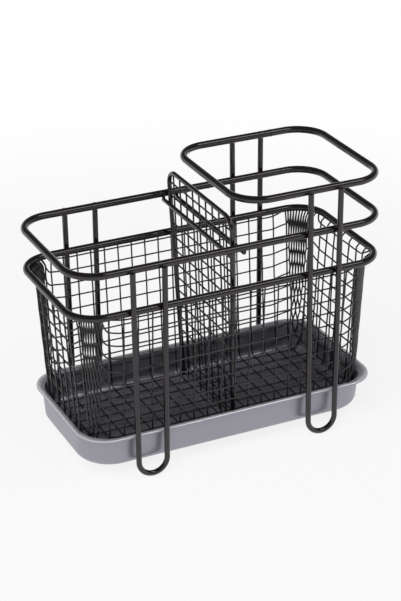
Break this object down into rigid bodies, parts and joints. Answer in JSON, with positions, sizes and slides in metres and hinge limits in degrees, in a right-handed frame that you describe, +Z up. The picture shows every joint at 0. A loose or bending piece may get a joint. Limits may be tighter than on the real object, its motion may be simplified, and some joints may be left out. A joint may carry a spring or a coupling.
{
  "type": "cutlery drainer",
  "caption": "Two-compartment wire cutlery drainer with a net basket, a taller rail over one half, a lift-out divider and a drip tray.",
  "frame": {"origin": "middle of the footprint, on the surface that the legs stand on", "axes": "+X along the length towards the tall half, +Y across it towards the rear, +Z up"},
  "size_m": [0.2044, 0.1064, 0.1631],
  "materials": {
    "rack_coating": "satin black powder coat",
    "net_coating": "satin black powder coat",
    "divider_coating": "satin black powder coat",
    "divider_net_coating": "satin black powder coat",
    "tray_grey": "satin moulded plastic"
  },
  "bodies": {
    "rack": {"basket_rim": "rack_coating", "guard_rail": "rack_coating", "top_rail": "rack_coating", "front_left_leg": "rack_coating", "front_right_leg": "rack_coating", "rear_left_leg": "rack_coating", "rear_right_leg": "rack_coating", "left_guide_bar": "rack_coating", "right_guide_bar": "rack_coating", "basket_floor_net": "net_coating", "basket_front_net": "net_coating", "basket_rear_net": "net_coating", "basket_left_net": "net_coating", "basket_right_net": "net_coating", "basket_front_left_corner_net": "net_coating", "basket_front_right_corner_net": "net_coating", "basket_rear_left_corner_net": "net_coating", "basket_rear_right_corner_net": "net_coating"},
    "divider": {"divider_frame": "divider_coating", "divider_net": "divider_net_coating"},
    "tray": {"drip_tray": "tray_grey"}
  },
  "joints": [
    {"name": "divider_lift", "type": "slide", "parent": "rack", "child": "divider", "axis": [-0.0301, 0, 0.9995], "range_m": [0, 0.122]},
    {"name": "tray_drop", "type": "slide", "parent": "rack", "child": "tray", "axis": [0, 0, -1], "range_m": [-0.001, 0.03]}
  ]
}
